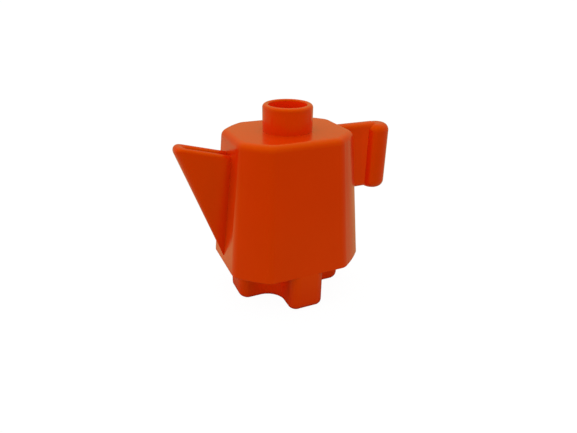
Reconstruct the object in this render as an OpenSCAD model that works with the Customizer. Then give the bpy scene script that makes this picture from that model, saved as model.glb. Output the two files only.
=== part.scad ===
// Toy teapot that fits a toddler-size interlocking building-brick system.
// X runs from the spout (-X) to the handle (+X) and Z is up. The origin is the centre of the
// foot's underside, on the axis that the foot's socket and the top stud share.
// The pot tapers from an octagonal bottom rim up to a smaller octagonal deck, so that the
// names below say "rim" for the bottom outline and "deck" for the top one.

/* [Pot] */
// Height of the pot, from its bottom rim to the deck
pot_h = 25.7; // [20:0.1:36]
// Length of the bottom rim, from the spout side to the handle side
rim_len = 27.2; // [25:0.1:34]
// Width of the bottom rim
rim_wid = 22.6; // [21.5:0.1:30]
// What each corner cut takes off the bottom rim's length
rim_cut_len = 5.6; // [4:0.1:6.5]
// What each corner cut takes off the bottom rim's width
rim_cut_wid = 5.0; // [4:0.1:6]
// Length of the deck
deck_len = 22.9; // [20:0.1:25]
// Width of the deck
deck_wid = 18.4; // [17:0.1:21]
// What each corner cut takes off the deck's length
deck_cut_len = 4.6; // [3.5:0.1:5.5]
// Radius of the eight upright edges
upright_r = 2.5; // [1.3:0.1:2.8]
// Radius of the edge that runs round the deck
deck_edge_r = 1.2; // [0.4:0.1:1.4]
// Thickness of the pot's wall
pot_wall = 1.8; // [1.4:0.1:2.4]
// Thickness of the deck
deck_t = 1.6; // [1.2:0.1:2.4]

/* [Top stud] */
// Outer diameter of the stud
stud_d = 9.36; // [9:0.02:9.8]
// Diameter of the hole in the stud
stud_bore_d = 7.1; // [6:0.1:7.6]
// Height of the stud above the deck
stud_h = 4.9; // [4:0.1:6]
// Radius of the stud's outer top edge
stud_edge_r = 0.5; // [0.2:0.05:0.6]
// Radius of the edge of the stud's hole
stud_lip_r = 0.2; // [0.1:0.05:0.3]

/* [Spout] */
// How far the spout's tip stands out past the bottom rim
spout_reach = 8.1; // [6:0.05:12]
// How far the rim's line would lie below the deck at the tip
spout_tip_drop = 0.55; // [0:0.05:3]
// How much lower the rounded tip is than that line
spout_tip_fall = 1.0; // [0:0.05:2]
// Length over which the rim rounds down to the tip
spout_tip_len = 1.8; // [0.5:0.1:4]
// How far the spout's rim falls from the tip to the pot
spout_rim_fall = 2.85; // [1:0.05:5]
// Width of the spout at its rim
spout_w = 4.0; // [3.2:0.1:5]
// Thickness of the spout's walls at the rim
spout_wall = 1.3; // [0.8:0.1:1.4]
// Depth of the pouring channel where it meets the pot
channel_depth = 9.0; // [3:0.5:14]
// Height above the bottom rim at which the spout's keel starts
keel_rise = 1.4; // [0.5:0.1:6]
// Radius of the blend between the spout's sides and the pot
spout_blend_r = 0.5; // [0.2:0.1:1.6]

/* [Handle] */
// How far the grip's centre stands out past the bottom rim
grip_reach = 6.15; // [5:0.05:12]
// Diameter of the grip
grip_d = 5.1; // [4:0.1:7]
// Length of the grip
grip_len = 13.6; // [10:0.1:18]
// How far the grip's top lies below the deck
grip_drop = 0.45; // [0:0.05:3]
// Radius of the grip's end edges
grip_edge_r = 1.45; // [0.5:0.05:1.9]
// Thickness of the web that carries the grip
web_t = 2.2; // [1.6:0.1:3]
// Height of the web
web_h = 13.5; // [9:0.1:14]
// How far the web's top lies below the deck
web_drop = 0.2; // [0:0.05:3]
// Radius of the web's long edges
web_edge_r = 0.9; // [0.3:0.05:0.95]

/* [Foot] */
// Height of the foot below the pot
foot_h = 7.8; // [6:0.1:10]
// How far the arms that point to the spout and the handle stay inside the bottom rim
arm_inset_len = 2.55; // [1:0.05:4]
// How far the other two arms stay inside the bottom rim
arm_inset_wid = 0; // [0:0.05:1.5]
// Width of an arm
arm_w = 7.0; // [6.2:0.1:7.6]
// Radius of the upright corners at an arm's end
arm_corner_r = 1.5; // [0.5:0.05:1.8]
// Radius of the lower edge at an arm's end
arm_edge_r = 1.3; // [0.5:0.05:1.8]
// Radius of the recess between two arms
recess_r = 3.1; // [2:0.1:3.4]
// Radius of the lower edges along the arms' sides and the recesses
recess_edge_r = 1.1; // [0.1:0.05:1.2]
// Diameter of the socket that takes a stud
socket_d = 9.4; // [9:0.02:9.8]
// Thickness of the plate that closes the pot
plate_t = 1.6; // [1.2:0.1:2.4]
// Width of the pot's bottom rim outside the plate
plate_lip = 1.0; // [0.6:0.1:1.2]
// Clearance between the plate and the pot's rim
plate_gap = 0.05; // [0.02:0.01:0.1]
// Radius of the plate's corners
plate_corner_r = 0.8; // [0.4:0.1:1.4]

/* [Hidden] */
plastic = "#b83101";

// Shared by all cuts that run past a face
overrun = 0.5;
// Radius of the upright edges inside the pot
inner_edge_r = 0.5;
// Steps in an upright edge, in the deck's edge, in the spout's nose, rim and blend
corner_steps = 8;
edge_steps = 6;
nose_steps = 20;
lip_steps = 10;
blend_steps = 4;
// Share of the spout's size at which its pointed ends are cut blunt
blunt_share = 0.02;
$fn = 64;

deck_z = foot_h + pot_h;
// The corner cuts keep one direction all the way up, so that every side of the pot is flat
deck_cut_wid = deck_cut_len * rim_cut_wid / rim_cut_len;
rim_outline = [rim_len, rim_wid, rim_cut_len, rim_cut_wid];
deck_outline = [deck_len, deck_wid, deck_cut_len, deck_cut_wid];
seat_outline = inset(rim_outline, plate_lip);
// Each recess is round and runs smoothly into the sides of its two arms
recess_pos = arm_w / 2 + recess_r;

// An octagonal outline is [length, width, corner cut along X, corner cut along Y].
// The same outline with every side moved in by d
function inset(o, d) = let (slant = norm([o[2], o[3]])) [
    o[0] - 2 * d,
    o[1] - 2 * d,
    o[2] - d * (1 - (slant - o[2]) / o[3]),
    o[3] - d * (1 - (slant - o[3]) / o[2])
];

// The pot's outline at a height above its bottom rim
function pot_outline(z) = rim_outline + (deck_outline - rim_outline) * z / pot_h;

// Points round an octagonal outline whose corners have radius r
function outline_points(o, r) = let (
    i = inset(o, r),
    a = i[0] / 2,
    b = i[1] / 2,
    t = atan2(o[2], o[3]),
    turns = [0, t, 90, 180 - t, 180, 180 + t, 270, 360 - t, 360],
    corners = [[a, b - i[3]], [a - i[2], b], [i[2] - a, b], [-a, b - i[3]],
               [-a, i[3] - b], [i[2] - a, -b], [a - i[2], -b], [a, i[3] - b]]
) [
    for (k = [0 : 7], s = [0 : corner_steps])
        let (g = turns[k] + (turns[k + 1] - turns[k]) * s / corner_steps)
        corners[k] + r * [cos(g), sin(g)]
];

// The same points at a height
function ring(o, r, z) = [for (p = outline_points(o, r)) [p[0], p[1], z]];

// A solid over a list of rings that all have the same number of points
module skin(rings) {
    n = len(rings[0]);
    last = (len(rings) - 1) * n;
    polyhedron(
        points = [for (r = rings) each r],
        faces = concat(
            [[for (i = [0 : n - 1]) i]],
            [for (j = [0 : n : last - n], i = [0 : n - 1])
                let (k = (i + 1) % n)
                each [[j + i, j + n + i, j + n + k], [j + i, j + n + k, j + k]]],
            [[for (i = [n - 1 : -1 : 0]) last + i]]
        )
    );
}

// How far in and how high the deck's rounded edge is, from the side up to the flat
edge_levels = [
    for (s = [0 : edge_steps])
        let (g = 90 * s / edge_steps)
        [deck_edge_r * (1 - cos(g)), pot_h - deck_edge_r * (1 - sin(g))]
];

// Tapered octagonal pot with a rounded deck edge
module pot_outside() {
    skin(concat(
        [ring(rim_outline, upright_r, 0)],
        [for (e = edge_levels) ring(inset(pot_outline(e[1]), e[0]), upright_r - e[0] / 2, e[1])]
    ));
}

module pot_inside() {
    top = pot_h - deck_t;
    skin([
        ring(inset(pot_outline(-overrun), pot_wall), inner_edge_r, -overrun),
        ring(inset(pot_outline(top), pot_wall), inner_edge_r, top)
    ]);
}

// The pot's end as one profile seen from the front, drawn wide enough to trim what meets it
module pot_end(width) {
    rotate([90, 0, 0])
        linear_extrude(width, center = true)
            polygon(concat(
                [[0, -overrun], pot_end_point(-overrun, 0)],
                [for (e = edge_levels) pot_end_point(e[1], e[0])],
                [[0, pot_h]]
            ));
}

function pot_end_point(z, in) = [inset(pot_outline(z), in)[0] / 2, z];

module pot_shell() {
    color(plastic)
        translate([0, 0, foot_h])
            difference() {
                pot_outside();
                pot_inside();
                translate([0, 0, -overrun])
                    linear_extrude(plate_t + overrun)
                        polygon(outline_points(seat_outline, plate_corner_r));
            }
}

// Half section of a tube wall with a rounded outer and a rounded inner top edge
module tube_section(inner_r, outer_r, height, outer_edge, inner_edge) {
    translate([inner_r, 0])
        square([outer_r - inner_r, height - max(outer_edge, inner_edge)]);
    translate([inner_r + inner_edge, 0])
        square([outer_r - inner_r - inner_edge - outer_edge, height]);
    translate([inner_r, 0])
        square([(outer_r - inner_r) / 2, height - inner_edge]);
    translate([outer_r - outer_edge, height - outer_edge])
        circle(outer_edge);
    translate([inner_r + inner_edge, height - inner_edge])
        circle(inner_edge);
}

module top_stud() {
    color(plastic)
        translate([0, 0, deck_z])
            rotate_extrude()
                tube_section(stud_bore_d / 2, stud_d / 2, stud_h, stud_edge_r, stud_lip_r);
}

// Slope of the pot's end, as length lost on one side for each unit of height
end_lean = (rim_len - deck_len) / 2 / pot_h;
spout_tip = [-rim_len / 2 - spout_reach, pot_h - spout_tip_drop];
nose_x = spout_tip[0] + spout_w / 2;
// The spout is modelled on past the pot's side and trimmed to it
spout_root_x = -deck_len / 2 + pot_wall;
rim_slope = spout_rim_fall / (-deck_len / 2 - spout_tip[0]);
// Where the spout's rim meets the side of the pot
spout_face_x = -(rim_len / 2 - end_lean * (spout_tip[1] + rim_slope * spout_tip[0]))
    / (1 + end_lean * rim_slope);
keel_foot = [-rim_len / 2 + end_lean * keel_rise, 0, keel_rise];
channel_foot = [spout_face_x, 0, rim_z(spout_face_x) - channel_depth];

// Height of the spout's rim along X
function rim_z(x) = spout_tip[1] - rim_slope * (x - spout_tip[0]);

// Plan of the spout's rim moved in by d: a round nose, straight sides, and a blend of size f
// that opens out to the pot
function spout_plan(d, f) = let (
    w = spout_w / 2 - d,
    blend = [
        for (s = [0 : blend_steps])
            let (g = 90 * s / blend_steps)
            [spout_face_x - spout_blend_r * (1 - sin(g)), w + f * (1 - cos(g))]
    ]
) concat(
    [for (s = [0 : nose_steps]) let (g = 90 + 180 * s / nose_steps) [nose_x + w * cos(g), w * sin(g)]],
    [for (p = blend) [p[0], -p[1]]],
    [[spout_root_x, -w - f], [spout_root_x, w + f]],
    [for (s = [blend_steps : -1 : 0]) blend[s]]
);

// Share of the spout's size that the rounded tip takes off its rim at x
function tip_cut(x) = let (t = min(1, max(0, (x - spout_tip[0]) / spout_tip_len)))
    spout_tip_fall / (spout_tip[1] - keel_rise) * (1 - sqrt(1 - (1 - t) ^ 2));

// The plan laid on the rim's slope at a height above it, and drawn in towards a point
function spout_ring(d, f, up, point, share) = [
    for (p = spout_plan(d, f))
        point + share * (1 - tip_cut(p[0])) * ([p[0], p[1], rim_z(p[0]) + up] - point)
];

// A pouring lip that narrows to a pointed keel, with a channel let in between its walls
module spout() {
    r = spout_wall / 2;
    f = spout_blend_r;
    color(plastic)
        translate([0, 0, foot_h])
            difference() {
                skin(concat(
                    [spout_ring(0, f, -r, keel_foot, blunt_share)],
                    [for (s = [0 : lip_steps])
                        let (g = 180 * s / lip_steps)
                        spout_ring(r * (1 - cos(g)), f * (1 - s / lip_steps), r * (sin(g) - 1),
                                   keel_foot, 1)],
                    [spout_ring(spout_wall, 0, -r, channel_foot, blunt_share)]
                ));
                mirror([1, 0, 0])
                    pot_end(2 * spout_w);
            }
}

// Section with rounded lower corners, standing on Y = 0
module lower_round_section(width, height, r) {
    translate([-width / 2, r])
        square([width, height - r]);
    translate([-width / 2 + r, 0])
        square([width - 2 * r, height]);
    for (side = [-1, 1])
        translate([side * (width / 2 - r), r])
            circle(r);
}

// Rectangle with four rounded corners
module round_rectangle(length, width, r) {
    square([length - 2 * r, width], center = true);
    square([length, width - 2 * r], center = true);
    for (sx = [-1, 1], sy = [-1, 1])
        translate([sx * (length / 2 - r), sy * (width / 2 - r)])
            circle(r);
}

module grip() {
    r = grip_d / 2;
    rotate_extrude() {
        square([r - grip_edge_r, grip_len]);
        translate([0, grip_edge_r])
            square([r, grip_len - 2 * grip_edge_r]);
        intersection() {
            for (z = [grip_edge_r, grip_len - grip_edge_r])
                translate([r - grip_edge_r, z])
                    circle(grip_edge_r);
            square([r, grip_len]);
        }
    }
}

// A round upright grip carried by a thin web
module handle() {
    grip_x = rim_len / 2 + grip_reach;
    color(plastic)
        translate([0, 0, foot_h])
            difference() {
                union() {
                    translate([grip_x, 0, pot_h - grip_drop - grip_len])
                        grip();
                    translate([0, 0, pot_h - web_drop - web_h / 2])
                        rotate([90, 0, 90])
                            linear_extrude(grip_x)
                                round_rectangle(web_t, web_h, web_edge_r);
                }
                pot_end(2 * grip_d);
            }
}

// One bar of the cross-shaped foot, rounded at its corners and lower edges
module foot_bar(length) {
    intersection() {
        linear_extrude(foot_h)
            round_rectangle(length, arm_w, arm_corner_r);
        rotate([90, 0, 0])
            linear_extrude(arm_w, center = true)
                lower_round_section(length, foot_h, arm_edge_r);
        rotate([90, 0, 90])
            linear_extrude(length, center = true)
                lower_round_section(arm_w, foot_h, recess_edge_r);
    }
}

// Round recess between two arms, flared at its lower edge
module recess_cut() {
    e = recess_edge_r;
    translate([0, 0, -overrun])
        cylinder(h = foot_h + overrun, r = recess_r);
    rotate_extrude()
        difference() {
            translate([0, -overrun])
                square([recess_r + e, e + overrun]);
            translate([recess_r + e, e])
                circle(e);
        }
}

// Closing plate with a cross-shaped foot whose socket takes one stud
module foot_base() {
    color(plastic)
        difference() {
            union() {
                difference() {
                    union() {
                        foot_bar(rim_len - 2 * arm_inset_len);
                        rotate([0, 0, 90])
                            foot_bar(rim_wid - 2 * arm_inset_wid);
                        linear_extrude(foot_h)
                            square(2 * recess_pos, center = true);
                    }
                    for (sx = [-1, 1], sy = [-1, 1])
                        translate([sx * recess_pos, sy * recess_pos, 0])
                            recess_cut();
                }
                translate([0, 0, foot_h])
                    linear_extrude(plate_t)
                        polygon(outline_points(inset(seat_outline, plate_gap), plate_corner_r));
            }
            translate([0, 0, -overrun])
                cylinder(h = foot_h + overrun, d = socket_d);
        }
}

pot_shell();
top_stud();
spout();
handle();
foot_base();
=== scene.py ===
"""Toy teapot, one glossy orange moulding on a cross-shaped foot: the looks over the CAD solids.

Lengths in this file are in millimetres until a mesh, a lamp or the camera is made, as in the
part's source. X runs from the spout (-X) to the handle (+X), Z is up, and the origin is the centre
of the foot's underside. "Rim" is the pot's bottom outline and "deck" its top one.
"""
import math

import bpy
import numpy as np
from mathutils import Matrix, geometry


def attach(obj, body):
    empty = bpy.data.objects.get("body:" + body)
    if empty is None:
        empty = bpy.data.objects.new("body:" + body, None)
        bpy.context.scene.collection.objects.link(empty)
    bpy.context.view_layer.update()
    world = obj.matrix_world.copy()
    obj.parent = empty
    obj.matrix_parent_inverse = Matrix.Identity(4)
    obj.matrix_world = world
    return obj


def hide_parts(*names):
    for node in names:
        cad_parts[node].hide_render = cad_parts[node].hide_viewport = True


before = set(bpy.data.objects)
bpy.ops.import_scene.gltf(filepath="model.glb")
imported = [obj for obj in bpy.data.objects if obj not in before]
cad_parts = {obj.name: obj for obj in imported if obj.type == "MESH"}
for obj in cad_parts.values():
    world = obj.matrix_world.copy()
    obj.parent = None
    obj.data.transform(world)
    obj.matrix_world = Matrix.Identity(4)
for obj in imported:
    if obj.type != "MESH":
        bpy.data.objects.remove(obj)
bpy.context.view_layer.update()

# Pot. Its outlines are octagons: [length, width, cut along X, cut along Y].
FOOT_H = 7.8
POT_H = 25.7
DECK_Z = FOOT_H + POT_H
RIM = np.array([27.2, 22.6, 5.6, 5.0])
DECK = np.array([22.9, 18.4, 4.6, 4.6 * 5.0 / 5.6])
UPRIGHT_R = 2.5
DECK_EDGE_R = 1.2
RIM_EDGE_R = 0.15
# how far the middle of each slanted side stands out from a flat
SLANT_BOW = 0.15
POT_WALL = 1.8
DECK_T = 1.6
PLATE_T = 1.6
PLATE_LIP = 1.0
PLATE_GAP = 0.05
# radius of the upright edges inside the pot, and of those of the plate and its rebate
INNER_R, PLATE_R = 0.5, 0.8
# Top stud
STUD_R, BORE_R, STUD_H = 4.68, 3.55, 4.82
STUD_EDGE_R, BORE_EDGE_R = 0.62, 0.34
# Spout, with heights from the pot's rim
SPOUT_TIP = (-RIM[0] / 2 - 8.16, POT_H - 0.51)
SPOUT_FALL = 2.85
TIP_FALL, TIP_LEN = 1.0, 1.8
SPOUT_HALF, SPOUT_WALL = 2.0, 1.3
# the round nose's length over its half width, and how much thicker its front wall is than its sides
NOSE_LONG, NOSE_FILL = 0.9, 1.1
CHANNEL_DEPTH = 9.0
KEEL_RISE = 1.4
# Handle
GRIP_X = RIM[0] / 2 + 6.15
GRIP_R, GRIP_LEN, GRIP_DROP, GRIP_EDGE_R = 2.55, 13.6, 0.45, 1.45
WEB_T, WEB_H, WEB_DROP, WEB_EDGE_R = 2.2, 13.6, 0.1, 0.9
# Foot
ARM_X, ARM_Y, ARM_HALF = 11.3, 11.3, 3.5
ARM_CORNER_R, ARM_EDGE_R = 1.9, 1.55
RECESS_R, RECESS_EDGE_R = 3.5, 1.0
SOCKET_R, MOUTH_R = 4.7, 0.2

# Slope of the pot's ends: length lost on each side for a unit of height
END_LEAN = (RIM[0] - DECK[0]) / 2 / POT_H
# How far a piece that grows out of another starts under its surface
ROOT = 0.04

# Angle between two faces, in degrees, above which the edge between them is shaded sharp
SHARP_ANGLE = 32

# The plastic's colours: the two shades that clouds run between, a brighter red that is painted
# bounce light in hollows and creases, a more orange one that is painted light on faces that light
# falls on more, and that of rub marks
SHADES = ((0.60, 0.0172, 0.0, 1), (0.66, 0.0203, 0.0, 1))
BOUNCE_RED = (0.96, 0.032, 0.0, 1)
LIT_ORANGE = (0.67, 0.033, 0.0, 1)
RUBBED = (0.78, 0.05, 0.005, 1)
# Warm colours of the room and of the floor in the plastic's gloss
ROOM_TINT = (0.98, 1.0, 0.38, 1)
FLOOR_TINT = (0.98, 1.0, 0.48, 1)
WHITE = (1, 1, 1, 1)
# Half the floor's side, and its height just under the foot, both in metres
FLOOR_HALF, FLOOR_Z = 4.0, -0.00002
# What the lamps point at
MIDDLE = (0, 0, 18)


# ---------------------------------------------------------------- meshes from arrays

def fall(distance, length):
    """Soft fall over a distance: 1 up to 0, and from there the bell exp(-(distance / length)^2)."""
    return np.exp(-(np.clip(distance, 0, None) / length) ** 2)


def painted_bounce(points):
    """Painted bounce light: how much each point gets, from 0 in the open to 1 in hollows and
    creases. Each place is a product of soft falls over the distances from it, times the most that
    it reaches. There the colour is painted a brighter red, which stands in for light going to and
    fro between the walls."""
    x, y, z = np.asarray(points, float).T
    h = z - FOOT_H
    # beside the spout's root, which widens with height, up to near the spout's rim
    out_of_end = abs(x) - (RIM[0] / 2 - END_LEAN * h)
    root_half = SPOUT_HALF * np.clip((h - KEEL_RISE) / (POT_H - KEEL_RISE - 3.0), 0, 1)
    spout = (x < 0) * fall(abs(y) - root_half, 3.5) * fall(out_of_end, 3.0) * fall(h - 21.5, 2.0)

    # beside the web, from its lower edge to a little under its top, and where it meets the grip
    web_top = POT_H - WEB_DROP
    from_web = abs(y) - WEB_T / 2
    level_with_web = (x > 0) * fall(h - web_top + 2.5, 1.5) * fall(web_top - WEB_H - h, 2.0)
    web = level_with_web * (x < GRIP_X - 2.0) * fall(from_web, 3.0)
    crease_x = GRIP_X - 1.8
    along = fall(crease_x - x, 0.9) * fall(x - crease_x, 1.2)
    crease = level_with_web * fall(from_web, 1.2) * along

    # the lower 3 mm of the stud's wall, the bore's wall and floor, and the foot between its arms
    from_axis = np.hypot(x, y)
    stud = (z > DECK_Z) * (abs(from_axis - STUD_R) < 0.6) * fall(h - POT_H - 3.0, 1.0)
    bore = (h > POT_H - 0.1) * (from_axis < BORE_R + 0.1) * (z < DECK_Z + STUD_H - 0.3)
    out_on_arms = np.maximum(abs(x), abs(y)) - 6.5
    arms = (z < FOOT_H + 0.1) * fall(out_on_arms, 2.0) * np.clip(z / 1.5, 0, 1)

    places = ((0.28, spout), (0.28, web), (0.8, crease), (0.15, stud), (0.62, bore), (0.68, arms))
    return np.clip(np.max([most * place for most, place in places], axis=0), 0, 1)


def put_mesh(name, points, faces, edge=0.0, extra_bounce_paint=0.0, painted_light=0.0):
    """One closed mesh object from points in millimetres and lists of corners. Three attributes are
    kept for the plastic: `edge`, from 0 on flats to 1 on rounded edges, one of painted bounce light
    in hollows and creases, the larger of that worked out here and what a piece gives, and one of
    painted light, up to 1 where faces that light falls on are painted a little more orange."""
    mesh = bpy.data.meshes.new(name)
    mesh.from_pydata((np.asarray(points) / 1000).tolist(), [], faces)
    mesh.polygons.foreach_set("use_smooth", np.ones(len(mesh.polygons), dtype=bool))
    bounce_paint = np.maximum(painted_bounce(points), extra_bounce_paint)
    for key, value in (("edge", edge), ("painted_bounce", bounce_paint), ("painted_light", painted_light)):
        kept = mesh.attributes.new(key, "FLOAT", "POINT")
        kept.data.foreach_set("value", np.zeros(len(points)) + value)
    mesh.set_sharp_from_angle(angle=math.radians(SHARP_ANGLE))
    mesh.validate()
    mesh.update()
    piece = bpy.data.objects.new(name, mesh)
    bpy.context.scene.collection.objects.link(piece)
    return piece


def ring_faces(rings, count, start=0):
    """Four-sided faces between neighbours of `rings` closed rings that have `count` points each,
    as one array: corner (j, i), (j, i + 1), (j + 1, i + 1), (j + 1, i)."""
    j, i = np.meshgrid(np.arange(rings - 1), np.arange(count), indexing="ij")
    k = (i + 1) % count
    corners = [j * count + i, j * count + k, (j + 1) * count + k, (j + 1) * count + i]
    return (start + np.stack(corners, axis=-1)).reshape(-1, 4)


def skin(rings):
    """Points and faces of a closed solid over a stack of equal rings, with a flat cap at each end.
    The rings turn anticlockwise seen from the side that the last ring's cap faces."""
    rings = np.asarray(rings)
    count = rings.shape[1]
    faces = ring_faces(len(rings), count).tolist()
    faces.append(list(range(count))[::-1])
    faces.append(list(range((len(rings) - 1) * count, len(rings) * count)))
    return rings.reshape(-1, 3), faces


def hoop(rings):
    """Points and faces of a closed solid whose last ring joins its first, as round a tube."""
    rings = np.asarray(rings)
    count = rings.shape[1]
    faces = ring_faces(len(rings) + 1, count) % (len(rings) * count)
    return rings.reshape(-1, 3), faces.tolist()


def quarter(steps):
    """Pairs of sine and cosine over a quarter turn, for rounded edges. Beside each rounded edge the
    pieces have one more ring, a few hundredths of a millimetre on, so that flats shade flat."""
    g = np.linspace(0, math.pi / 2, steps + 1)
    return list(zip(np.sin(g), np.cos(g)))


def revolved(section, count, axis_x=0.0):
    """Rings of a body turned about an upright axis at axis_x: each radius r and height z of the
    section gives the circle (axis_x + r cos g, r sin g, z) as `count` points."""
    g = np.linspace(0, 2 * math.pi, count + 1)[:-1]
    r, z = section[:, :1], section[:, 1:2]
    return np.stack([axis_x + r * np.cos(g), r * np.sin(g), z + 0 * g], axis=-1)


# ---------------------------------------------------------------- pot

def inset(outline, d):
    """The octagon [length, width, cut along X, cut along Y] with every side moved in by d."""
    length, width, a, b = outline
    slant = math.hypot(a, b)
    return np.array([length - 2 * d, width - 2 * d,
                     a - d * (1 - (slant - a) / b), b - d * (1 - (slant - b) / a)])


def pot_outline(z):
    """The pot's octagon at a height above its bottom rim: a straight taper from rim to deck."""
    return RIM + (DECK - RIM) * z / POT_H


# Places along each flat side, close together next to the rounded edges so that flats shade flat
SIDE_STOPS = np.array([0.015, 0.06, 0.15, 0.27, 0.4, 0.5, 0.6, 0.73, 0.85, 0.94, 0.985])
ARC_STEPS = 12


def octagon(outline, radius, z):
    """Ring of points round an octagon at one height: an arc of `radius` at each of its eight
    corners, then stops along the side to the next arc. A slanted side is bowed outwards by the
    parabola 4 t (1 - t) over its length. Returns the points and, for each, 1 on an arc and 0 on a
    side."""
    length, width, cut_x, cut_y = inset(outline, radius)
    a, b = length / 2, width / 2
    t = math.atan2(outline[2], outline[3])
    turns = np.array([0, t, math.pi / 2, math.pi - t, math.pi, math.pi + t, 1.5 * math.pi,
                      2 * math.pi - t, 2 * math.pi])
    corners = np.array([[a, b - cut_y], [a - cut_x, b], [cut_x - a, b], [-a, b - cut_y],
                        [-a, cut_y - b], [cut_x - a, -b], [a - cut_x, -b], [a, cut_y - b]])
    g = turns[:-1, None] + (turns[1:] - turns[:-1])[:, None] * np.linspace(0, 1, ARC_STEPS + 1)
    arcs = corners[:, None] + radius * np.stack([np.cos(g), np.sin(g)], axis=-1)
    start = arcs[:, -1]
    run = np.roll(arcs[:, 0], -1, axis=0) - start
    sides = start[:, None] + run[:, None] * SIDE_STOPS[None, :, None]
    across = np.stack([run[:, 1], -run[:, 0]], axis=-1) / np.linalg.norm(run, axis=1)[:, None]
    slanted = (np.arange(8) % 2 == 0)[:, None]
    bow = SLANT_BOW * 4 * SIDE_STOPS * (1 - SIDE_STOPS) * slanted
    sides = sides + across[:, None] * bow[:, :, None]
    flat = np.concatenate([arcs, sides], axis=1).reshape(-1, 2)
    on_arc = np.tile([1.0] * (ARC_STEPS + 1) + [0.0] * len(SIDE_STOPS), 8)
    return np.column_stack([flat, np.full(len(flat), z)]), on_arc


def make_pot():
    """Closed skin of the pot over a stack of octagons, each at a height and moved in by a depth:
    inner ceiling, inner wall, rebate for the plate, bottom rim rounded by height r (1 - cos g) and
    depth r (1 - sin g), tapered side, deck edge rounded by height r sin g and depth r (1 - cos g),
    deck. Painted light makes it a little more orange on the deck, where light falls from above, and
    on its end beside the spout."""
    # height, depth, radius of the upright edges, and 1 where the profile is rounded
    levels = [(POT_H - DECK_T, POT_WALL, INNER_R, 0), (PLATE_T, POT_WALL, INNER_R, 0),
              (PLATE_T, PLATE_LIP, PLATE_R, 0), (0.0, PLATE_LIP, PLATE_R, 0),
              (0.0, RIM_EDGE_R + 0.05, UPRIGHT_R, 0)]
    levels += [(RIM_EDGE_R * (1 - c), RIM_EDGE_R * (1 - s), UPRIGHT_R, 1) for s, c in quarter(4)]
    low, high = RIM_EDGE_R, POT_H - DECK_EDGE_R
    levels += [(low + (high - low) * share, 0, UPRIGHT_R, 0)
               for share in (0.005, 0.08, 0.3, 0.5, 0.7, 0.92, 0.994)]
    for s, c in quarter(10):
        d = DECK_EDGE_R * (1 - c)
        levels.append((high + DECK_EDGE_R * s, d, UPRIGHT_R - d / 2, 1))
    levels += [(POT_H, d, UPRIGHT_R - d / 2, 0) for d in (DECK_EDGE_R + 0.08, DECK_EDGE_R + 0.5)]

    rings, edge = [], []
    for z, d, radius, rounded in levels:
        ring, on_arc = octagon(inset(pot_outline(z), d), radius, FOOT_H + z)
        rings.append(ring)
        # upright edges are worn too, but less, and not those of the flat underside
        edge.append(np.maximum(on_arc * 0.6, rounded) if z or rounded else on_arc * 0)
    points, faces = skin(rings)
    x, y, z = points.T
    # painted light: the deck, lit from above, and the end beside the spout are painted a little
    # more orange
    on_deck = np.clip((z - DECK_Z) / 0.6 + 1, 0, 1)
    at_spout = (x < 3.0 - RIM[0] / 2) * fall(abs(y) - 4.5, 1.5) * fall(z - FOOT_H - 19.0, 2.0)
    return put_mesh("pot", points, faces, np.concatenate(edge), painted_light=np.maximum(on_deck, at_spout))


def make_plate():
    """The plate that closes the pot from below: an octagonal slab let into the pot's rebate."""
    seat = inset(inset(RIM, PLATE_LIP), PLATE_GAP)
    levels = [(0, 0.08), (0.08, 0), (PLATE_T - 0.02, 0)]
    rings = [octagon(inset(seat, d), PLATE_R, FOOT_H + z)[0] for z, d in levels]
    return put_mesh("closing_plate", *skin(rings))


# ---------------------------------------------------------------- top stud

def make_stud():
    """Ring turned about Z from one closed section: outer wall, outer edge rounded by radius
    R - e (1 - cos g) and height H - e (1 - sin g), flat rim, the bore's edge rounded likewise, and
    bore wall. Both walls start just under the deck."""
    top, e, b = STUD_H, STUD_EDGE_R, BORE_EDGE_R
    outer = [(STUD_R, z, 0) for z in (-ROOT, 0.02, 1.2, 3.4, top - e - 0.04)]
    edge = [(STUD_R - e * (1 - c), top - e * (1 - s), 1) for s, c in quarter(8)]
    flat = [(STUD_R - e - 0.05, top, 0), (BORE_R + b + 0.05, top, 0)]
    lip = [(BORE_R + b * (1 - s), top - b * (1 - c), 1) for s, c in quarter(8)]
    bore = [(BORE_R, z, 0) for z in (top - b - 0.04, 2.5, -ROOT)]
    section = np.array(outer + edge + flat + lip + bore) + [0, DECK_Z, 0]
    rings = revolved(section, count=128)
    points, faces = hoop(rings)
    # painted light: the rim's top, lit from above, is painted a little more orange
    on_rim = np.clip((points[:, 2] - DECK_Z - STUD_H) / 0.4 + 1, 0, 1)
    worn = np.repeat(section[:, 2], rings.shape[1])
    return put_mesh("top_stud_ring", points, faces, worn, painted_light=on_rim)


# ---------------------------------------------------------------- spout

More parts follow.
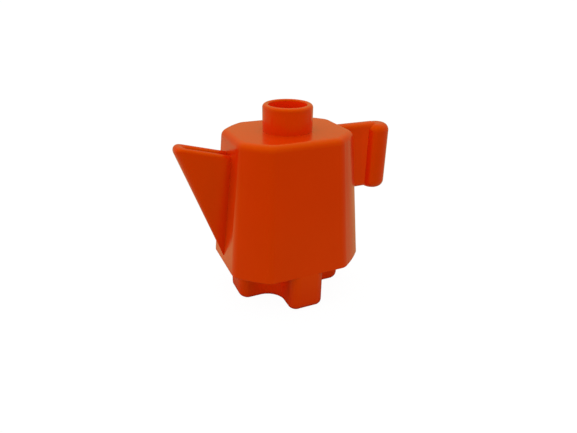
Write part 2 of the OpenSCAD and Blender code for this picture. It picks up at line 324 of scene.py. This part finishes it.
def make_spout():
    """Pouring lip, in the pot's own heights. The rim's plan is a round nose with two straight
    sides, laid on a slope. Each ring is this plan moved in by d and drawn in towards a point P down
    to a share s of its size, p = P + s (1 - cut) (rim - P). The outside is drawn in to the keel's
    foot on the pot's end, the inside to the channel's foot, and a half round crest joins them. The
    cut grows to the tip by a quarter circle's rise, 1 - sqrt(1 - t * t), which rounds the tip. The
    mesh closes just under the pot's end."""
    tip_x, tip_h = SPOUT_TIP
    slope = SPOUT_FALL / (-DECK[0] / 2 - tip_x)
    # where the sloping rim meets the pot's end
    face_x = -(RIM[0] / 2 - END_LEAN * (tip_h + slope * tip_x)) / (1 + END_LEAN * slope)
    face_h = tip_h - slope * (face_x - tip_x)
    # directions out of the pot's leaning end and up along it
    lean = math.atan(END_LEAN)
    out = np.array([-math.cos(lean), 0, math.sin(lean)])
    up_face = np.array([math.sin(lean), 0, math.cos(lean)])
    foot_point = np.array([-RIM[0] / 2, 0, 0])
    keel = foot_point + up_face * KEEL_RISE / up_face[2]
    channel = foot_point + up_face * (face_h - CHANNEL_DEPTH) / up_face[2]

    nose_x = tip_x + NOSE_LONG * SPOUT_HALF
    nose = np.radians(np.linspace(90, 270, 41))
    # places along each straight side, as shares of its length from the nose to the pot
    run = np.concatenate([np.linspace(0, 1, 25) ** 0.6 * 0.985, [1.0]])[1:]

    def plan(d):
        """The rim's plan moved in by d, from the pot along one side, round the nose and back."""
        w = SPOUT_HALF - d
        centre = nose_x + NOSE_FILL * d / SPOUT_WALL
        x_side = centre + (face_x - centre) * run
        x = np.concatenate([x_side[::-1], centre + NOSE_LONG * w * np.cos(nose), x_side])
        y = np.concatenate([np.full(len(run), w), w * np.sin(nose), np.full(len(run), -w)])
        return np.stack([x, y, tip_h - slope * (x - tip_x)], axis=-1)

    def ring(d, up, point, share):
        """One ring: the plan moved in by d, raised by `up` and drawn in, and two points under the
        pot's end that close it."""
        rim = plan(d)
        before = 1 - np.clip((rim[:, 0] - tip_x) / TIP_LEN, 0, 1)
        cut = TIP_FALL / (tip_h - KEEL_RISE) * (1 - np.sqrt(1 - before * before))
        p = point + (share * (1 - cut))[:, None] * (rim + [0, 0, up] - point)
        # points on the pot's end go just under it
        depth = np.clip((p - foot_point) @ out, 0, None)
        p = p - out * (ROOT * np.clip(1 - depth / 0.08, 0, 1))[:, None]
        return np.vstack([p, p[-1] - out * 0.5, p[0] - out * 0.5])

    # the outside from the keel's foot up, over the crest, and the inside down to the channel's foot
    half = SPOUT_WALL / 2
    shares = np.concatenate([[0.008], np.linspace(0.06, 1, 30)[:-1] ** 1.3])
    rings = [ring(0, -half, keel, share) for share in shares]
    edge = [0.0] * len(rings)
    for g in math.pi * np.linspace(0, 1, 15):
        rings.append(ring(half * (1 - math.cos(g)), half * (math.sin(g) - 1), keel, 1))
        edge.append(math.sin(g))
    inner = np.linspace(1, 0.04, 22)[1:]
    rings += [ring(SPOUT_WALL, -half, channel, share) for share in inner]
    edge += [0.0] * len(inner)
    rings = np.array(rings) + [0, 0, FOOT_H]
    count = rings.shape[1]
    points, faces = skin(rings)
    # painted bounce light: all of the spout is painted a little brighter red, and its channel much
    # more
    in_channel = np.repeat(np.arange(len(rings)) > len(rings) - len(inner), count)
    extra_bounce_paint = 0.08 + 0.5 * in_channel
    return put_mesh("pouring_spout", points, faces, np.repeat(edge, count), extra_bounce_paint)


# ---------------------------------------------------------------- handle

def make_web():
    """Web between pot and grip: a rectangle with corners (y + r cos g, z + r sin g), carried along
    X. Its root follows the pot's end and the deck's rounded edge. Over the grip its top curves
    down, so that it ends inside."""
    r = WEB_EDGE_R
    a, b = WEB_T / 2 - r, WEB_H / 2 - r
    # places along each flat side between two corners
    stops = np.array([0.02, 0.2, 0.5, 0.8, 0.98])
    arcs = []
    for k, (y, z) in enumerate(((a, b), (-a, b), (-a, -b), (a, -b))):
        g = np.linspace(0, math.pi / 2, 9) + k * math.pi / 2
        arcs.append(np.stack([y + r * np.cos(g), z + r * np.sin(g)], axis=-1))
    section, worn = [], []
    for k, arc in enumerate(arcs):
        side = arcs[(k + 1) % 4][0] - arc[-1]
        section += [arc, arc[-1] + side * stops[:, None]]
        worn += [0.8] * len(arc) + [0.0] * len(stops)
    y, up = np.vstack(section).T

    z = POT_H - WEB_DROP - WEB_H / 2 + up
    above = np.clip((z - POT_H) / DECK_EDGE_R + 1, 0, 1)
    face_x = RIM[0] / 2 - END_LEAN * z - DECK_EDGE_R * (1 - np.sqrt(1 - above * above))
    rings = [np.stack([face_x + d, y, z], axis=-1) for d in (-0.6, 0.01, 0.8, 2.0, 4.0)]
    high = np.clip(up / (WEB_H / 2), 0, 1)
    # the last rings: how far before the grip's axis, and how far the top has come down there
    for before, drop in ((1.3, 0.0), (0.9, 0.09), (0.5, 0.28), (0.15, 0.42), (0.0, 0.46)):
        rings.append(np.stack([np.full(len(z), GRIP_X - before), y, z - drop * high], axis=-1))
    points, faces = skin(np.array(rings) + [0, 0, FOOT_H])
    return put_mesh("handle_web", points, faces, np.tile(worn, len(rings)))


def make_grip():
    """Round upright grip turned about its own axis: a straight wall between two ends whose edges
    are rounded by radius R - e + e sin g and height e (1 - cos g) from the end."""
    r, e = GRIP_R, GRIP_EDGE_R
    low = [(0.5, 0, 0), (r - e - 0.05, 0, 0)]
    low += [(r - e + e * s, e * (1 - c), 0.8) for s, c in quarter(10)]
    low += [(r, e + 0.05, 0)]
    high = [(x, GRIP_LEN - z, worn) for x, z, worn in low[::-1]]
    bottom = DECK_Z - GRIP_DROP - GRIP_LEN
    section = np.array(low + [(r, GRIP_LEN / 2, 0)] + high) + [0, bottom, 0]
    rings = revolved(section, count=96, axis_x=GRIP_X)
    points, faces = skin(rings)
    return put_mesh("handle_grip", points, faces, np.repeat(section[:, 2], rings.shape[1]))


# ---------------------------------------------------------------- foot

def foot_plan():
    """Plan of the cross-shaped foot. Each row is a point, its outward normal, the radius of the
    lower edge there, and 1 on the ends of the two arms that are flush with the pot. One eighth is
    half an arm's end, its rounded corner, its side, and the recess's arc from where it leaves that
    side to the diagonal."""
    centre = ARM_HALF + RECESS_R

    def circle(g):
        return np.stack([np.cos(g), np.sin(g)], axis=-1)

    def eighth(length, flush):
        r = ARM_CORNER_R
        end = np.stack([np.full(9, length), np.linspace(0, ARM_HALF - r, 10)[:9]], axis=-1)
        at_corner = circle(np.linspace(0, math.pi / 2, 13))
        corner = [length - r, ARM_HALF - r] + r * at_corner
        x_side = np.linspace(length - r, centre, 6)[1:-1]
        side = np.stack([x_side, np.full(len(x_side), ARM_HALF)], axis=-1)
        in_recess = circle(np.linspace(-0.5 * math.pi, -0.75 * math.pi, 13))
        recess = centre + RECESS_R * in_recess
        points = np.vstack([end, corner, side, recess])
        normals = np.vstack([np.tile([1.0, 0.0], (len(end), 1)), at_corner,
                             np.tile([0.0, 1.0], (len(side), 1)), -in_recess])
        # the edge's radius goes from that of an arm to that of a recess as the corner turns
        turn = np.clip(np.arctan2(normals[:, 1], normals[:, 0]) / (math.pi / 2), 0, 1)
        turn[len(end) + len(corner):] = 1
        radius = ARM_EDGE_R + (RECESS_EDGE_R - ARM_EDGE_R) * turn
        return np.column_stack([points, normals, radius,
                                flush * (np.arange(len(points)) < len(end))])

    along, across = eighth(ARM_X, 0.0), eighth(ARM_Y, 1.0)
    # swapping x and y, mirroring x, and a half turn join the eighths into the closed outline
    corner = np.concatenate([along, across[::-1, [1, 0, 3, 2, 4, 5]][1:]])
    half = np.concatenate([corner, (corner * [-1, 1, -1, 1, 1, 1])[::-1][1:]])
    return np.concatenate([half, half[1:-1] * [-1, -1, -1, -1, 1, 1]])


def make_foot():
    """Cross-shaped foot: its plan carried down from the plate to the rounded lower edge, a flat
    underside with a hole, and the socket's wall with a rounded mouth. The two flush ends reach up
    over the pot's rounded rim and slip just under its side, so that no groove is left there. The
    arms' outer faces are painted a little more orange than the recesses, as painted light."""
    plan = foot_plan()
    count = len(plan)
    radius, flush = plan[:, 4], plan[:, 5]

    def outer(out, z):
        """The plan moved out along its normals and put at height z: one value, or one per point."""
        moved = plan[:, :2] + plan[:, 2:4] * np.broadcast_to(out, count)[:, None]
        return np.column_stack([moved, np.broadcast_to(z, count)])

    rings = [outer(-0.03 * flush, FOOT_H + ROOT + 0.2 * flush), outer(0, FOOT_H - 0.02)]
    rings += [outer(0, radius + (FOOT_H - radius) * share) for share in (0.97, 0.6, 0.3, 0.02)]
    edge = [np.zeros(count)] * len(rings)
    for s, c in quarter(8):
        rings.append(outer(-radius * (1 - c), radius * (1 - s)))
        edge.append(radius / ARM_EDGE_R)
    rings.append(outer(-radius - 0.06, 0))
    edge.append(np.zeros(count))
    outer_rings = np.array(rings)

    mouth = [(SOCKET_R + MOUTH_R * (1 - s), MOUTH_R * (1 - c), 1) for s, c in quarter(8)]
    socket = np.array([(SOCKET_R + MOUTH_R + 0.05, 0.0, 0)] + mouth
                      + [(SOCKET_R, z, 0) for z in (MOUTH_R + 0.05, FOOT_H / 2, FOOT_H + ROOT)])
    inner_rings = revolved(socket, count=96)
    inner_count = inner_rings.shape[1]

    def between(first, second, first_start, second_start, upwards):
        """Flat face with a hole between two rings, as triangles that all turn the same way."""
        lines = [[(x, y, 0) for x, y in ring[:, :2]] for ring in (first, second)]
        tris = np.array(geometry.tessellate_polygon(lines))
        number = np.concatenate([first_start + np.arange(len(first)),
                                 second_start + np.arange(len(second))])
        p = np.vstack([first[:, :2], second[:, :2]])[tris]
        one, two = p[:, 1] - p[:, 0], p[:, 2] - p[:, 0]
        turned_left = (one[:, 0] * two[:, 1] - one[:, 1] * two[:, 0]).sum() > 0
        return number[tris if turned_left == upwards else tris[:, ::-1]].tolist()

    inner_start = len(outer_rings) * count
    last_inner = inner_start + (len(inner_rings) - 1) * inner_count
    faces = ring_faces(len(outer_rings), count)[:, ::-1].tolist()
    faces += ring_faces(len(inner_rings), inner_count, inner_start)[:, ::-1].tolist()
    faces += between(outer_rings[-1], inner_rings[0], inner_start - count, inner_start, False)
    faces += between(outer_rings[0], inner_rings[-1], 0, last_inner, True)
    points = np.vstack([outer_rings.reshape(-1, 3), inner_rings.reshape(-1, 3)])
    worn = np.concatenate(edge + [np.repeat(socket[:, 2], inner_count)])
    # painted light: the arms' outer faces are painted a little more orange than the recesses
    out_on_arms = np.clip((abs(points[:, :2]).max(axis=1) - 7.0) / 2.0, 0, 1)
    return put_mesh("cross_foot", points, faces, worn, painted_light=0.4 * out_on_arms)


# ---------------------------------------------------------------- shader nodes

def link(tree, source, target):
    tree.links.new(source, target)


def node(tree, kind, **values):
    """A shader node, with the values of its own settings or of its named inputs."""
    made = tree.nodes.new(kind)
    for key, value in values.items():
        if key in made.inputs:
            made.inputs[key].default_value = value
        else:
            setattr(made, key, value)
    return made


def calc(tree, operation, *sources):
    """Output of a math node over outputs or plain numbers."""
    made = node(tree, "ShaderNodeMath", operation=operation)
    for slot, source in enumerate(sources):
        if isinstance(source, (int, float)):
            made.inputs[slot].default_value = source
        else:
            link(tree, source, made.inputs[slot])
    return made.outputs["Value"]


def ramp(tree, source, low, high, to_low=0.0, to_high=1.0, kind="LINEAR"):
    """Output that goes from to_low to to_high while the source goes from low to high."""
    made = node(tree, "ShaderNodeMapRange", interpolation_type=kind,
                **{"From Min": low, "From Max": high, "To Min": to_low, "To Max": to_high})
    link(tree, source, made.inputs["Value"])
    return made.outputs["Result"]


def shade(tree, factor, first, second):
    """Colour output that goes from `first`, a colour or an output, to the colour `second`."""
    made = node(tree, "ShaderNodeMix", data_type="RGBA")
    link(tree, factor, made.inputs["Factor"])
    if isinstance(first, tuple):
        made.inputs["A"].default_value = first
    else:
        link(tree, first, made.inputs["A"])
    made.inputs["B"].default_value = second
    return made.outputs["Result"]


def either(tree, factor, first, second):
    """Shader output: `first` where the factor is 0, `second` where it is 1."""
    made = node(tree, "ShaderNodeMixShader")
    for slot, source in enumerate((factor, first, second)):
        link(tree, source, made.inputs[slot])
    return made.outputs["Shader"]


# ---------------------------------------------------------------- plastic

def moulded_group():
    """Node group for the moulded surface. From a position it works out a cloudy tone, rub marks
    (stretched noise in two directions, where a slow noise or a worn edge allows them) and a fine
    waviness, and puts out Tone, Rub and Height, each about 0 to 1."""
    group = bpy.data.node_groups.new("moulded_surface", "ShaderNodeTree")
    face = group.interface
    face.new_socket("Position", in_out="INPUT", socket_type="NodeSocketVector")
    for name in ("Edge", "Rubbing"):
        face.new_socket(name, in_out="INPUT", socket_type="NodeSocketFloat")
    for name in ("Tone", "Rub", "Height"):
        face.new_socket(name, in_out="OUTPUT", socket_type="NodeSocketFloat")
    inside = node(group, "NodeGroupInput")
    outside = node(group, "NodeGroupOutput")

    def noise(place, **values):
        made = node(group, "ShaderNodeTexNoise", **values)
        link(group, place, made.inputs["Vector"])
        return made.outputs["Fac"]

    cloud = noise(inside.outputs["Position"], Scale=85.0, Detail=2.0, Roughness=0.55)
    link(group, cloud, outside.inputs["Tone"])

    marks = []
    directions = ((0.3, 0.2, 0.9), (260, 3200, 700)), ((0.8, -0.5, -0.6), (3600, 240, 800))
    for turn, stretch in directions:
        place = node(group, "ShaderNodeMapping", Rotation=turn, Scale=stretch)
        link(group, inside.outputs["Position"], place.inputs["Vector"])
        streak = noise(place.outputs["Vector"], Scale=1.0, Detail=1.0, Roughness=0.5)
        marks.append(ramp(group, streak, 0.68, 0.8))
    allowed = ramp(group, noise(inside.outputs["Position"], Scale=160.0, Detail=1.0), 0.45, 0.7)
    where = calc(group, "ADD", allowed, inside.outputs["Edge"])
    rub = calc(group, "MULTIPLY", calc(group, "MAXIMUM", *marks), where)
    rub = calc(group, "MULTIPLY", rub, inside.outputs["Rubbing"])
    link(group, rub, outside.inputs["Rub"])

    wave = noise(inside.outputs["Position"], Scale=240.0, Detail=2.0, Roughness=0.4)
    height = calc(group, "SUBTRACT", wave, calc(group, "MULTIPLY", rub, 0.12))
    link(group, height, outside.inputs["Height"])
    return group


def orange_plastic(name, group, rubbing, roughness):
    """Glossy ABS coloured through. The group's tone moves the colour a little, painted bounce light
    makes hollows and creases a brighter red and painted light makes lit faces more orange, rub
    marks are pale and dull, and the waviness bends its reflections slightly."""
    plastic = bpy.data.materials.new(name)
    plastic.use_nodes = True
    plastic.diffuse_color = (0.48, 0.031, 0.0015, 1)
    tree = plastic.node_tree
    shader = tree.nodes["Principled BSDF"]
    shader.inputs["IOR"].default_value = 1.5
    shader.inputs["Specular Tint"].default_value = (1.0, 0.95, 0.0, 1)
    shader.inputs["Metallic"].default_value = 0.0

    def kept(attribute):
        return node(tree, "ShaderNodeAttribute", attribute_name=attribute).outputs["Fac"]

    place = node(tree, "ShaderNodeTexCoord")
    moulded = node(tree, "ShaderNodeGroup", node_tree=group)
    moulded.inputs["Rubbing"].default_value = rubbing
    link(tree, place.outputs["Object"], moulded.inputs["Position"])
    link(tree, kept("edge"), moulded.inputs["Edge"])

    colour = shade(tree, moulded.outputs["Tone"], *SHADES)
    # painted bounce light makes hollows and creases a brighter red, then painted light makes lit
    # faces more orange
    colour = shade(tree, kept("painted_bounce"), colour, BOUNCE_RED)
    colour = shade(tree, kept("painted_light"), colour, LIT_ORANGE)
    colour = shade(tree, moulded.outputs["Rub"], colour, RUBBED)
    link(tree, colour, shader.inputs["Base Color"])

    dull = calc(tree, "MULTIPLY_ADD", moulded.outputs["Rub"], 0.22, roughness)
    link(tree, dull, shader.inputs["Roughness"])

    bump = node(tree, "ShaderNodeBump", Strength=0.5, Distance=0.00004)
    link(tree, moulded.outputs["Height"], bump.inputs["Height"])
    link(tree, bump.outputs["Normal"], shader.inputs["Normal"])
    return plastic


# ---------------------------------------------------------------- camera, floor and light

def placed(right, up, back, place):
    """Matrix of a camera or lamp that looks away from `back`, at a place in millimetres."""
    matrix = Matrix.Identity(4)
    for axis, vector in enumerate((right, up, back, place / 1000)):
        for row in range(3):
            matrix[row][axis] = float(vector[row])
    return matrix


def make_camera():
    """Camera at the place that the photograph was taken from, worked out from its outlines: turned
    24.4 degrees to the spout's side, 25.7 degrees up, 96 mm from its aim, rolled by 0.9 degrees."""
    turn, rise, roll = (math.radians(a) for a in (24.390, 25.663, 0.931))
    distance, aim_x, aim_z = 96.234, 0.469, 15.433
    focal_pixels, photo_width = 472.808, 577
    back = np.array([-math.sin(turn) * math.cos(rise), -math.cos(turn) * math.cos(rise),
                     math.sin(rise)])
    right = np.array([math.cos(turn), -math.sin(turn), 0])
    up = np.cross(right, -back)
    rolled_right = math.cos(roll) * right + math.sin(roll) * up
    rolled_up = math.cos(roll) * up - math.sin(roll) * right
    aim = np.array([aim_x * math.cos(turn), -aim_x * math.sin(turn), aim_z])
    lens = bpy.data.cameras.new("camera")
    lens.sensor_width = 36
    lens.lens = focal_pixels / photo_width * lens.sensor_width
    lens.clip_start, lens.clip_end = 0.005, 20
    camera = bpy.data.objects.new("camera", lens)
    camera.matrix_world = placed(rolled_right, rolled_up, back, aim + back * distance)
    bpy.context.scene.collection.objects.link(camera)
    bpy.context.scene.camera = camera


def make_floor():
    """Pale floor. It takes the object's shadow as a plain matt surface, looks white to the camera,
    and isn't seen from below. In the plastic's gloss it is dark close under the object, brighter
    away from it and behind it (towards +Y), and a little dimmer again in the distance."""
    mesh = bpy.data.meshes.new("floor")
    corners = [(x * FLOOR_HALF, y * FLOOR_HALF, FLOOR_Z)
               for x, y in ((-1, -1), (1, -1), (1, 1), (-1, 1))]
    mesh.from_pydata(corners, [], [(0, 1, 2, 3)])
    floor = bpy.data.objects.new("floor", mesh)
    bpy.context.scene.collection.objects.link(floor)
    paint = bpy.data.materials.new("pale_floor")
    paint.use_nodes = True
    tree = paint.node_tree
    tree.nodes.clear()

    place = node(tree, "ShaderNodeTexCoord")
    away = node(tree, "ShaderNodeVectorMath", operation="LENGTH")
    link(tree, place.outputs["Object"], away.inputs[0])
    apart = node(tree, "ShaderNodeSeparateXYZ")
    link(tree, place.outputs["Object"], apart.inputs["Vector"])
    # brightness over distances in metres; the darkness close under the object is painted shade,
    # standing in for the object's shadow on the floor as the gloss shows it
    near = ramp(tree, away.outputs["Value"], 0.006, 0.026, 0.02, 0.445, "SMOOTHSTEP")
    far = ramp(tree, away.outputs["Value"], 0.05, 0.1, 1.0, 0.78, "SMOOTHSTEP")
    behind = ramp(tree, apart.outputs["Y"], 0.0, 0.035, 1.0, 1.4, "SMOOTHSTEP")
    level = calc(tree, "MULTIPLY", calc(tree, "MULTIPLY", near, far), behind)

    matt = node(tree, "ShaderNodeBsdfDiffuse", Color=(0.5, 0.5, 0.5, 1))
    white = node(tree, "ShaderNodeEmission", Color=WHITE, Strength=1.07)
    warm = node(tree, "ShaderNodeEmission", Color=FLOOR_TINT)
    link(tree, level, warm.inputs["Strength"])
    clear = node(tree, "ShaderNodeBsdfTransparent")
    path = node(tree, "ShaderNodeLightPath")
    side = node(tree, "ShaderNodeNewGeometry")
    # the camera sees a tenth of the matt floor too, with the object's shadow on it
    for_camera = calc(tree, "MULTIPLY", path.outputs["Is Camera Ray"], 0.9)
    seen = either(tree, for_camera, matt.outputs["BSDF"], white.outputs["Emission"])
    gloss = either(tree, path.outputs["Is Glossy Ray"], seen, warm.outputs["Emission"])
    from_below = either(tree, side.outputs["Backfacing"], gloss, clear.outputs["BSDF"])
    out = node(tree, "ShaderNodeOutputMaterial")
    link(tree, from_below, out.inputs["Surface"])
    mesh.materials.append(paint)


def make_world():
    """Surroundings: white to the camera, an even soft light on the object, and in the plastic's
    gloss a warm room that is brighter overhead."""
    world = bpy.data.worlds.new("soft_room")
    bpy.context.scene.world = world
    world.use_nodes = True
    # so even a light needs no importance map
    world.cycles.sampling_method = "NONE"
    tree = world.node_tree
    tree.nodes.clear()
    even = node(tree, "ShaderNodeBackground", Color=WHITE, Strength=0.99)
    white = node(tree, "ShaderNodeBackground", Color=WHITE, Strength=1.02)
    room = node(tree, "ShaderNodeBackground", Color=ROOM_TINT)
    way = node(tree, "ShaderNodeTexCoord")
    apart = node(tree, "ShaderNodeSeparateXYZ")
    link(tree, way.outputs["Generated"], apart.inputs["Vector"])
    link(tree, ramp(tree, apart.outputs["Z"], 0.4, 0.8, 0.45, 1.0), room.inputs["Strength"])
    path = node(tree, "ShaderNodeLightPath")
    lit = either(tree, path.outputs["Is Glossy Ray"],
                 even.outputs["Background"], room.outputs["Background"])
    seen = calc(tree, "MAXIMUM", path.outputs["Is Camera Ray"], path.outputs["Is Transmission Ray"])
    out = node(tree, "ShaderNodeOutputWorld")
    link(tree, either(tree, seen, lit, white.outputs["Background"]), out.inputs["Surface"])


def soft_lamp(name, place, size, power):
    """Square soft light at a place in millimetres, turned to the object's middle. It isn't seen
    itself, neither by the camera nor in the gloss."""
    place = np.array(place, float)
    back = place - MIDDLE
    back /= np.linalg.norm(back)
    right = np.cross([0, 0, 1], back)
    right /= np.linalg.norm(right)
    lamp = bpy.data.lights.new(name, "AREA")
    lamp.shape = "SQUARE"
    lamp.size = size / 1000
    lamp.energy = power
    lit = bpy.data.objects.new(name, lamp)
    lit.matrix_world = placed(right, np.cross(back, right), back, place)
    lit.visible_glossy = False
    lit.visible_camera = False
    bpy.context.scene.collection.objects.link(lit)


# ---------------------------------------------------------------- the whole

surface = moulded_group()
body_plastic = orange_plastic("orange_glossy_plastic", surface, rubbing=0.12, roughness=0.22)
foot_plastic = orange_plastic("orange_foot_plastic", surface, rubbing=0.15, roughness=0.24)

for maker, cad_node, plastic in (
    (make_pot, "pot_shell", body_plastic),
    (make_stud, "top_stud", body_plastic),
    (make_spout, "spout", body_plastic),
    (make_web, "handle", body_plastic),
    (make_grip, "handle", body_plastic),
    (make_foot, "foot_base", foot_plastic),
    (make_plate, "foot_base", foot_plastic),
):
    piece = maker()
    piece.data.materials.append(plastic)
    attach(piece, "root")
    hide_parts(cad_node)

bpy.context.scene.view_settings.view_transform = "Standard"
make_camera()
make_floor()
make_world()
soft_lamp("overhead", (0, 60, 260), size=220, power=0.045)
soft_lamp("left", (-240, 100, 100), size=200, power=0.11)
